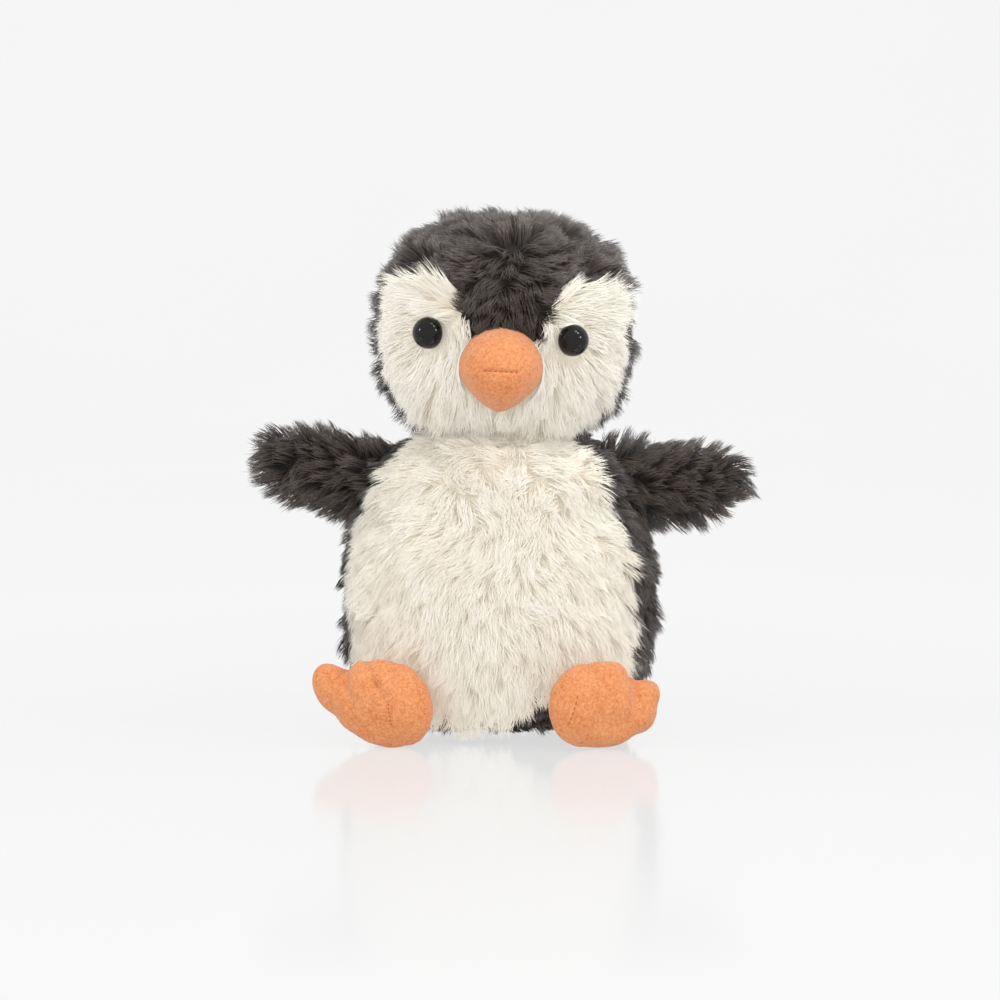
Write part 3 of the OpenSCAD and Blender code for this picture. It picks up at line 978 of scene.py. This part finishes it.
def clear_face(tufts, local):
    """Turns pile away from the eyes and beak, shortens it, and returns which tufts aren't under them."""
    clear = np.ones(len(local), bool)
    for side, sign in SIDES.items():
        distance, away = round_eye(local, side)
        distance = np.where(np.sign(local[:, 0]) == sign, distance, 1)
        close = 1 - fade(distance, eye_r, eye_r + 5 * MM)
        tufts.flow = unit(tufts.flow + away * 1.4 * close[:, None])
        tufts.length *= 1 - 0.42 * close
        tufts.lift -= 16 * close
        clear &= distance > eye_r + 0.2 * MM
    beak_distance = np.linalg.norm((local - beak_place)[:, (0, 2)], axis=1)
    in_front = local[:, 1] < -0.6 * half_size("head_stuffing")[1]
    near_beak = (1 - fade(beak_distance, beak_r, beak_r + 8 * MM)) * in_front
    tufts.length *= 1 - 0.3 * near_beak
    return clear & ~((beak_distance < beak_r * 0.78) & in_front)


def head_fur(head):
    """Pile on the head, worked out in the head's axes and in degrees."""
    tufts = scatter(head, HEAD_SPACING * TUFT_SPACING)
    local = to_head(tufts.root)
    panel = head_panels(tufts)
    cheeks = pale(panel)
    lay_pile(tufts, local, panel)
    shape_cheeks(tufts, local, cheeks)
    shape_dark_edges(tufts, local, panel)
    clear = clear_face(tufts, local)
    bottom = fade(-local[:, 2], 22 * MM, 33 * MM)
    tufts.lift = np.radians(tufts.lift + 12 * bottom)
    tufts.lay = np.radians(tufts.lay + 30 * bottom)
    tufts.flow = tufts.flow @ head_axes.T
    tufts.ruffle(np.where(cheeks, 0.16, 0.4), 10 * MM)
    for number, (node, name, material, slot_name) in enumerate(HEAD_PANELS):
        chosen = tufts.only((panel == number) & clear)
        grow(name, chosen, material, "head", slot_name, [node], avoid=keep_off_face)


head = hull("head_skin", node_points("head_stuffing"))
remesh(head, 4 * MM, 3)
swell(head, 0.8 * MM)
faces = skin_faces(head)
beside_crown = distances(frame["nodes"]["crown_gusset"], faces.root) <= 2 * MM
colour_skin(head, pale(head_panels(faces)) & ~beside_crown)
register(head, "stuffing", "head", "head_stuffing")
head_fur(head)

neck = hull("neck_core", node_points("neck_stuffing"))
remesh(neck, 2.5 * MM)
neck.data.materials.append(pouch_cloth)
register(neck, "stuffing", "neck", "neck_stuffing")

# ---- Face ----


def aim(piece, place, forward):
    """Moves a piece made along Z to that place, its Z along forward and its Y up the head."""
    turn = Matrix((head_up.cross(forward), head_up, forward)).transposed()
    piece.data.transform(Matrix.Translation(place) @ turn.to_4x4())


def revolved(name, profile, around=64):
    """Closed solid turned about Z from (radius, height) points, the first and last on the axis."""
    verts = [(0, 0, profile[0][1])]
    for r, h in profile[1:-1]:
        angles = (2 * math.pi * k / around for k in range(around))
        verts += [(r * math.cos(a), r * math.sin(a), h) for a in angles]
    verts.append((0, 0, profile[-1][1]))
    piece = from_faces(name, verts, lathe_faces(len(profile) - 2, around))
    piece.data.shade_smooth()
    return piece


def eye(side):
    """Safety eye: a polished dome on a thin rim, with its post behind the fabric."""
    post_r, post_l, rim = 1.6 * MM, 12 * MM, 1 * MM
    angles = np.linspace(0, math.pi / 2, 24)[:-1]
    profile = [
        (0, -post_l), (post_r * 0.7, -post_l), (post_r, -post_l + 1 * MM), (post_r, 0), (eye_r * 0.96, 0),
        (eye_r, 0.2 * MM), *((eye_r * math.cos(a), rim + eye_r * math.sin(a)) for a in angles),
        (0, rim + eye_r),
    ]
    piece = revolved(f"eye_{side}_dome", profile)
    outward = Vector(head_axes @ eye_axis(side))
    seat = Vector(head_centre) + outward * (half_size("head_stuffing")[0] + 2.3 * MM)
    aim(piece, seat + head_up * eye_places[side][2], outward)
    piece.data.materials.append(eye_gloss)
    register(piece, "eye_gloss", "head", f"eye_{side}")


for side in SIDES:
    eye(side)
    finish_cad(f"eye_washer_{side}", white_plastic)


def beak():
    """Padded beak: round above, tapered below, with a short mouth seam pulled in across the front."""
    rings, around = 44, 112
    length = 2 * beak_half[1]
    verts = [(0, 0, 0)]
    for ring in range(rings, 0, -1):
        a = math.pi / 2 * ring / rings
        radius = beak_r * math.sin(a) ** (2 / 2.15)
        for k in range(around):
            b = 2 * math.pi * k / around
            power = 2.0 if math.sin(b) > 0 else 1.5
            outline = (abs(math.cos(b)) ** power + abs(math.sin(b)) ** power) ** (-1 / power)
            x, y = (radius * outline * c for c in (math.cos(b), math.sin(b)))
            verts.append((x, y, length * math.cos(a) ** (2 / 2.3)))
    verts.append((0, 0, length))
    points = np.array(verts)
    groove = np.exp(-((points[:, 1] / (0.8 * MM)) ** 2)) * (points[:, 2] > 0.3 * length)
    wide = 0.3 + 0.7 * (1 - fade(np.abs(points[:, 0]), 5 * MM, 8 * MM))
    points[:, 2] -= 0.8 * MM * groove * wide
    piece = from_faces("beak", points, lathe_faces(rings, around))
    subdivide(piece)
    aim(piece, Vector(beak_centre) - head_front * beak_half[1], head_front)
    piece.data.materials.append(orange_suede)
    register(piece, "orange_suede", "head", "beak_upper", "beak_lower", "beak_stuffing")


beak()


def stitches(name, path, count, radius):
    """A row of short threads along a path, each dipping into the cloth at both ends."""
    steps = np.linalg.norm(np.diff(path, axis=0), axis=1)
    reach = np.concatenate([[0], np.cumsum(steps)])
    parts = []
    for number in range(count):
        places = [reach[-1] * (number + share) / count for share in (0.14, 0.86)]
        start, end = (np.array([np.interp(p, reach, path[:, k]) for k in range(3)]) for p in places)
        along = unit(end - start)
        across = unit(np.cross(along, (0.1, -1.0, 0.2)))
        axes = np.stack([along, across, np.cross(along, across)], axis=1)
        half = np.linalg.norm(end - start) / 2
        parts.append(((start + end) / 2, np.array((half, radius, radius)), axes, 8, 10))
    piece = lumps(name, parts)
    piece.data.shade_smooth()
    piece.data.materials.append(stitching)
    return piece


def mouth():
    """Stitches that pull the mouth in across the front of the beak."""
    tree = tree_of(bpy.data.objects["beak"])
    path = []
    for share in np.linspace(-0.42, 0.42, 24):
        start = Vector(from_head(beak_place + np.array((share * beak_r, -4 * beak_half[1], 0))))
        path.append(np.array(tree.ray_cast(start, -head_front)[0]))
    thread = stitches("mouth_stitches", np.array(path), 7, 0.26 * MM)
    register(thread, "orange_suede", "head")


mouth()

# ---- Flippers ----


# Rings of a flipper's root inside the body: distance from the middle, height, half height, half depth
FLIPPER_ROOT = ((48, 95, 13, 9), (34, 97, 9, 7))


def flipper(side):
    """Flipper whose root stays sewn into the body, with its pile; nothing here makes the rest swing on the
    hinge line.
    """
    sign = SIDES[side]
    stuffing = f"flipper_{side}_stuffing"
    hinge = np.array(joints[f"flipper_{side}_flap"]["pos_m"])
    along = unit((middle(stuffing) - hinge) * np.array((1, 0, 1)))
    seam = [
        (sign * reach * MM, depth * MM * math.cos(a), (height + tall * math.sin(a)) * MM)
        for reach, height, tall, depth in FLIPPER_ROOT
        for a in np.linspace(0, 2 * math.pi, 32, endpoint=False)
    ]
    piece = hull(f"flipper_{side}_skin", np.concatenate([node_points(stuffing), seam]))
    remesh(piece, 2.5 * MM)
    swell(piece, 2.2 * MM)
    piece.data.materials.append(charcoal_backing)
    start = hinge - np.array((sign * 15 * MM, 0, 0))
    end = hinge - np.array((sign * 3 * MM, 0, 0))
    bend = ("body", f"flipper_{side}", tuple(start), tuple(end))
    register(piece, "stuffing", bend, stuffing)
    tufts = scatter(piece, TUFT_SPACING)
    tufts.flow = np.tile(along + np.array((0, 0, -0.3)), (len(tufts.root), 1))
    tufts.length[:] = 10.5 * MM
    tufts.lift[:] = math.radians(66)
    tufts.lay[:] = math.radians(36)
    tufts.ruffle(0.5, 9 * MM)
    shown = tufts.only(outside(tufts.root, body_tree))
    panels = [f"flipper_{side}_front", f"flipper_{side}_back"]
    grow(f"flipper_{side}_fur", shown, charcoal_fur, bend, "charcoal_pile", panels)


body_tree = tree_of(body)
for side in SIDES:
    flipper(side)

# ---- Feet ----


# Each foot in its own axes, from its middle, in millimetres. Lobes: place (outward, up, forward),
# half width, half height, half depth, and lean outward in degrees. Folds: from, to, depth and width.
# Seam: from and to.
FOOT_SHAPES = {
    "right": {
        "lobes": (
            (-9.7, -1, 0.5, 12.5, 15.8, 10, 16),
            (1.3, 0.6, 0, 11.5, 15.6, 9.8, 8),
            (14.3, 3, -2, 8.5, 12.6, 8, 45),
            (-4, 0.4, 0.4, 11, 15.9, 10, 12),
            (8.8, 3.5, -1.5, 7, 8, 8, 0),
            (4.8, -4.2, -1, 9.2, 14, 8.5, 55),
            (-5.7, -8.6, -0.5, 13, 8.7, 9, 0),
        ),
        "folds": (
            ((3.1, 16), (-3, 7), 1.5, 1.3),
            ((-3, 7), (-7.9, 0.8), 1.0, 1.0),
            ((11.8, 11), (7.3, 0), 1.7, 2.0),
        ),
        "seam": ((-7.9, 0.8), (-9, -8)),
    },
    "left": {
        "lobes": (
            (-9.7, -0.5, 0.5, 13, 15.6, 10, 6),
            (0.8, 0.8, 0, 10.5, 15.3, 9.8, 3),
            (13.1, -1, -2, 7, 10.8, 8, 42),
            (-4.4, 0.4, 0.4, 11, 15.7, 10, 5),
            (8.5, 1.8, -1.5, 6.5, 8, 8, 0),
            (10.8, -3, -1, 9.6, 9.6, 8.5, 0),
            (-2.2, -8, -0.5, 15.5, 8.7, 9, 0),
        ),
        "folds": (((-7.2, 14), (-1.7, 2), 1.3, 1.3), ((9.9, 10), (11, -3), 1.7, 1.9)),
        "seam": ((-14.7, 4.5), (-17.7, -7)),
    },
}


def foot(side):
    """Suede foot standing on its heel: three toes, folds between them, and an ankle into the body."""
    sign, shape = SIDES[side], FOOT_SHAPES[side]
    nodes = (f"foot_{side}_sole", f"foot_{side}_upper")
    centre = middle(*nodes)
    across = np.array(joints[f"foot_{side}_tilt"]["axis"])
    outward = across * sign
    up = np.array((0.0, 0.0, 1.0))
    ahead = np.cross(up, across) * -1

    def lobe(u, v, w, wide, tall, deep, lean):
        """A rounded toe at (outward, up, forward), leaning outward by that many degrees."""
        a = math.radians(lean)
        own_up = up * math.cos(a) + outward * math.sin(a)
        own_out = outward * math.cos(a) - up * math.sin(a)
        place = centre + (outward * u + up * v + ahead * w) * MM
        return place, np.array((wide, tall, deep)) * MM, np.stack([own_out, own_up, ahead], axis=1)

    ankle_dir = unit(np.array((-sign * 0.25, 1.0, 0.05)))
    ankle_side = np.cross(ankle_dir, up)
    ankle_axes = np.stack([ankle_side, np.cross(ankle_side, ankle_dir), ankle_dir], axis=1)
    ankle = centre + (outward * -6 + up * -1) * MM + ankle_dir * 14 * MM
    parts = [lobe(*values) for values in shape["lobes"]]
    parts.append((ankle, np.array((9.5, 8.5, 14)) * MM, ankle_axes))
    piece = lumps(f"foot_{side}_pad", parts)
    remesh(piece, 1.5 * MM, 6)
    swell(piece, 0.6 * MM)
    points, directions = coordinates(piece.data), normals(piece.data)
    local = np.stack([(points - centre) @ axis for axis in (outward, up, ahead)], axis=1) / MM
    depth = np.zeros(len(points))
    for start, end, deep, wide in shape["folds"]:
        a, b = np.array(start), np.array(end)
        t = np.clip(((local[:, :2] - a) @ (b - a)) / ((b - a) @ (b - a)), 0, 1)
        distance = np.linalg.norm(local[:, :2] - a - t[:, None] * (b - a), axis=1)
        depth += deep * np.exp(-((distance / wide) ** 2)) * (local[:, 2] > -3) * (1 - 0.4 * t)
    nap = 0.05 * waves(points, 2 * MM) + 0.15 * waves(points, 9 * MM)
    points += directions * ((nap - depth) * MM)[:, None]
    points[:, 2] = np.maximum(points[:, 2], 0.1 * MM)
    set_coordinates(piece.data, points)
    piece.data.materials.append(orange_suede)
    back = centre - ahead * 9 * MM
    bend = ("body", f"foot_{side}", tuple(back - ahead * 9 * MM), tuple(back))
    register(piece, "orange_suede", bend, *nodes, f"foot_{side}_stuffing")
    tree = tree_of(piece)
    start, end = (np.array(place) for place in shape["seam"])
    path = []
    for share in np.linspace(0, 1, 12):
        u, v = start + (end - start) * share
        origin = centre + (outward * u + up * v + ahead * 40) * MM
        path.append(np.array(tree.ray_cast(Vector(origin), Vector(-ahead))[0]))
    thread = stitches(f"foot_{side}_stitches", np.array(path), 6, 0.25 * MM)
    register(thread, "orange_suede", bend)


for side in SIDES:
    foot(side)

# ---- Inside and label ----

pouch = hull("bean_bag", node_points("bean_pouch"))
remesh(pouch, 3 * MM)
pouch.data.materials.append(pouch_cloth)
register(pouch, "pouch_cloth", "body", "bean_pouch")
finish_cad("bean_pellets", pellet_plastic)


def care_label():
    """Blank folded ribbon that comes out of the pile and hangs behind the back."""
    low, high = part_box("care_label")
    thick, gap = 0.35 * MM, 0.5 * MM
    path = [(high.y - 6 * MM * (1 - t) ** 2, high.z - (high.z - low.z) * t) for t in np.linspace(0, 1, 12)]
    inner = [(y - gap - thick, z) for y, z in reversed(path)]
    turn_z = low.z - 0.5 * MM
    profile = path + [(path[-1][0] - 0.3 * MM, turn_z), (inner[0][0] + 0.3 * MM, turn_z)] + inner
    verts, faces = [], []
    across = np.linspace(low.x, high.x, 17)
    for x in across:
        for index, (y, z) in enumerate(profile):
            before, after = profile[max(index - 1, 0)], profile[min(index + 1, len(profile) - 1)]
            heading = unit(np.array((after[0] - before[0], after[1] - before[1])))
            cup = 0.6 * MM * math.cos((x - low.x) / (high.x - low.x) * math.pi * 2)
            for half in (-thick / 2, thick / 2):
                verts.append((x, y + cup - heading[1] * half, z + heading[0] * half))
    row = 2 * len(profile)
    for i in range(len(across) - 1):
        for j in range(len(profile) - 1):
            a = i * row + 2 * j
            faces.append((a, a + 2, a + row + 2, a + row))
            faces.append((a + 1, a + row + 1, a + row + 3, a + 3))
        for a in (i * row, i * row + row - 2):
            faces.append((a, a + row, a + row + 1, a + 1))
    for i in (0, len(across) - 1):
        for j in range(len(profile) - 1):
            a = i * row + 2 * j
            faces.append((a, a + 1, a + 3, a + 2))
    piece = from_faces("care_label_ribbon", verts, faces)
    bm = bmesh.new()
    bm.from_mesh(piece.data)
    bmesh.ops.recalc_face_normals(bm, faces=bm.faces)
    bm.to_mesh(piece.data)
    bm.free()
    subdivide(piece)
    piece.data.materials.append(ribbon)
    register(piece, "label_ribbon", "body", "care_label")


care_label()

# ---- Studio ----

FLOOR_GLOW = 0.845
# Floor: its reach to the front and back, half its width, its height behind, and the radius of its bend
FLOOR_REACH, FLOOR_HALF, FLOOR_RISE, FLOOR_BEND = 3.0, 4.0, 3.0, 1.2
# Width of the picture, in widths of the CAD box, and height of its middle, in heights of that box
PICTURE_WIDTH, PICTURE_MIDDLE = 1.975, 0.447
# Each light: name, place, width and height, power, and whether glossy surfaces show it
LIGHTS = (
    ("key", (0.38, -0.3, 1.12), (0.26, 0.3), 1.4, True),
    ("key_small", (0.62, -0.38, 0.95), (0.11, 0.2), 1.4, True),
    ("glint_left", (1.0, -0.5, 0.55), (0.2, 0.2), 1.8, True),
    ("glint_right", (-1.0, -0.5, 0.55), (0.2, 0.2), 1.8, True),
    ("front", (0.4, -1.15, 0.85), (0.6, 0.6), 2.6, False),
    ("fill", (-0.5, -1.3, 0.5), (0.6, 0.6), 2.4, False),
    ("top", (0.0, 0.15, 1.2), (0.9, 0.9), 0.5, False),
)


def backdrop():
    """White board that glows evenly and mirrors a little of what stands on it, less with distance."""
    made = Material("floor_board", Roughness=0.9, Specular_IOR_Level=0)
    grain = made.noise(0.4, 2)
    made.colour(made.ramp(grain, (0.3, (0.07, 0.07, 0.07, 1)), (0.7, (0.08, 0.08, 0.08, 1))))
    made.shader.inputs["Emission Color"].default_value = (1, 1, 1, 1)
    made.shader.inputs["Emission Strength"].default_value = FLOOR_GLOW
    place = made.node("TexCoord").outputs["Object"]
    mirror = made.node("BsdfGlossy", {"Color": (0.92, 0.92, 0.92, 1), "Roughness": 0.12})
    away = made.node("VectorMath", {0: place}, operation="LENGTH")
    both = made.node("MixShader", {"Fac": made.span(away.outputs["Value"], 0.15, 0.6, 0.22, 0.0)})
    made.link(made.shader.outputs["BSDF"], both.inputs[1])
    made.link(mirror.outputs["BSDF"], both.inputs[2])
    made.link(both.outputs["Shader"], made.nodes["Material Output"].inputs["Surface"])
    return made.material


def floor():
    """Pale floor that sweeps up behind the toy."""
    flat = FLOOR_REACH - FLOOR_BEND
    profile = [(-FLOOR_REACH, 0.0), (flat, 0.0)]
    for a in np.linspace(0, math.pi / 2, 24)[1:]:
        profile.append((flat + FLOOR_BEND * math.sin(a), FLOOR_BEND - FLOOR_BEND * math.cos(a)))
    profile.append((FLOOR_REACH, FLOOR_RISE))
    verts = [(x, y, z) for x in (-FLOOR_HALF, FLOOR_HALF) for y, z in profile]
    count = len(profile)
    piece = from_faces("floor", verts, [(i, i + count, i + count + 1, i + 1) for i in range(count - 1)])
    piece.data.shade_smooth()
    piece.data.materials.append(backdrop())


def lights():
    """Bright surroundings, and soft lights from above and both sides, aimed at the middle of the toy."""
    world = bpy.data.worlds.new("studio")
    world.use_nodes = True
    world.node_tree.nodes["Background"].inputs["Color"].default_value = (1, 1, 1, 1)
    world.node_tree.nodes["Background"].inputs["Strength"].default_value = 0.92
    scene.world = world
    target = Vector((0, 0, cad_box[1].z * 0.5))
    for name, place, size, power, mirrored in LIGHTS:
        data = bpy.data.lights.new(name, "AREA")
        data.shape = "RECTANGLE"
        data.size, data.size_y = size
        data.energy = power
        light = bpy.data.objects.new(name, data)
        light.location = place
        light.rotation_euler = (target - Vector(place)).to_track_quat("-Z", "Y").to_euler()
        light.visible_glossy = mirrored
        scene.collection.objects.link(light)


def view():
    """A long lens from the front, a little to the penguin's left and a little above it."""
    low, high = cad_box
    data = bpy.data.cameras.new("camera")
    data.lens = 180
    camera = bpy.data.objects.new("camera", data)
    distance = PICTURE_WIDTH * (high.x - low.x) * data.lens / data.sensor_width
    azimuth, elevation = math.radians(4), math.radians(4)
    level = math.cos(elevation)
    back = Vector((math.sin(azimuth) * level, -math.cos(azimuth) * level, math.sin(elevation)))
    camera.location = Vector((0, 0, PICTURE_MIDDLE * high.z)) + back * distance
    camera.rotation_euler = (-back).to_track_quat("-Z", "Y").to_euler()
    scene.collection.objects.link(camera)
    scene.camera = camera
    scene.view_settings.view_transform = "Standard"


floor()
lights()
view()
